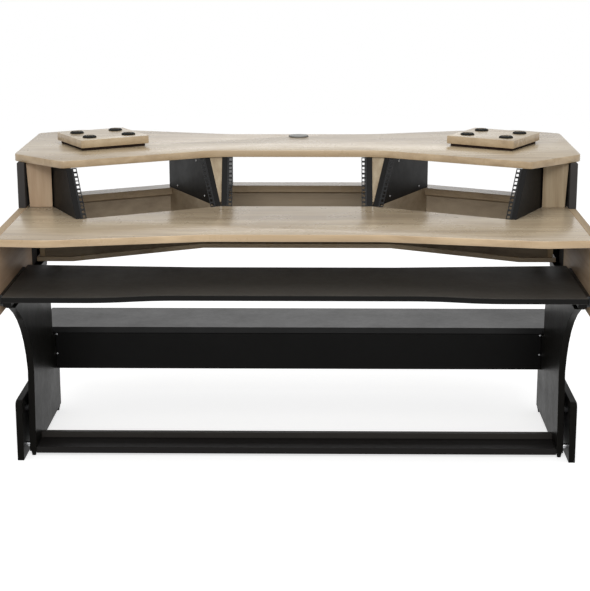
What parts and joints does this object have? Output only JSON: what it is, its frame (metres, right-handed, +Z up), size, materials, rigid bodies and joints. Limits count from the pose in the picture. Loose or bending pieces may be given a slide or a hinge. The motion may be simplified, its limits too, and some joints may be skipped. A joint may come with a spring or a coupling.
{
  "type": "studio desk",
  "caption": "Angled studio desk with three tilted rack bays under a raised deck, a sliding keyboard shelf, a cable box and a black underframe.",
  "frame": {"origin": "on the floor under the middle of the whole desk's width and depth", "axes": "+X to the user's right, +Y to the back, +Z up; the user sits on the -Y side"},
  "size_m": [1.95, 1.1676, 1.0425],
  "materials": {
    "oak_board": "satin oak grain",
    "black_laminate": "satin black laminate",
    "charcoal_laminate": "satin charcoal laminate",
    "black_steel": "black powder coat",
    "bright_steel": "zinc plated",
    "black_rubber": "matt",
    "grommet_plastic": "matt grey plastic"
  },
  "bodies": {
    "desk_frame": {"upper_deck": "oak_board", "worktop": "oak_board", "rear_ledge": "oak_board", "box_floor": "oak_board", "box_front_wall": "oak_board", "box_back_wall": "oak_board", "left_side_cheek": "oak_board", "left_front_filler": "oak_board", "left_wedge_filler": "oak_board", "box_left_end_wall": "oak_board", "box_left_divider": "oak_board", "left_speaker_pad": "oak_board", "right_side_cheek": "oak_board", "right_front_filler": "oak_board", "right_wedge_filler": "oak_board", "box_right_end_wall": "oak_board", "box_right_divider": "oak_board", "right_speaker_pad": "oak_board", "cable_shelf": "black_laminate", "modesty_panel": "black_laminate", "foot_rail": "black_laminate", "foot_rail_upstand": "black_laminate", "centre_left_rack_board": "black_laminate", "centre_right_rack_board": "black_laminate", "left_inner_rack_board": "black_laminate", "left_outer_rack_board": "black_laminate", "left_leg": "black_laminate", "left_foot": "black_laminate", "left_mounting_rail": "black_laminate", "right_inner_rack_board": "black_laminate", "right_outer_rack_board": "black_laminate", "right_leg": "black_laminate", "right_foot": "black_laminate", "right_mounting_rail": "black_laminate", "left_end_panel": "charcoal_laminate", "right_end_panel": "charcoal_laminate", "centre_left_rack_strip": "black_steel", "centre_right_rack_strip": "black_steel", "left_inner_rack_strip": "black_steel", "left_outer_rack_strip": "black_steel", "right_inner_rack_strip": "black_steel", "right_outer_rack_strip": "black_steel", "left_slide_outer": "bright_steel", "right_slide_outer": "bright_steel", "left_front_glide": "black_rubber", "left_rear_glide": "black_rubber", "right_front_glide": "black_rubber", "right_rear_glide": "black_rubber", "left_pad_base": "black_rubber", "right_pad_base": "black_rubber", "grommet_sleeve": "grommet_plastic", "grommet_cap": "grommet_plastic"},
    "keyboard_tray": {"keyboard_shelf": "black_laminate", "left_shelf_batten": "black_laminate", "right_shelf_batten": "black_laminate", "left_slide_inner": "bright_steel", "right_slide_inner": "bright_steel"},
    "left_slide_carriage": {"left_slide_middle": "bright_steel"},
    "right_slide_carriage": {"right_slide_middle": "bright_steel"}
  },
  "joints": [
    {"name": "shelf_slide", "type": "slide", "parent": "desk_frame", "child": "keyboard_tray", "axis": [0, -1, 0], "range_m": [0, 0.3]},
    {"name": "left_carriage_slide", "type": "slide", "parent": "desk_frame", "child": "left_slide_carriage", "axis": [0, -1, 0], "range_m": [0, 0.15]},
    {"name": "right_carriage_slide", "type": "slide", "parent": "desk_frame", "child": "right_slide_carriage", "axis": [0, -1, 0], "range_m": [0, 0.15]}
  ],
  "couplings": [
    {"joint": "left_carriage_slide", "follows": "shelf_slide", "ratio": 0.5},
    {"joint": "right_carriage_slide", "follows": "shelf_slide", "ratio": 0.5}
  ]
}
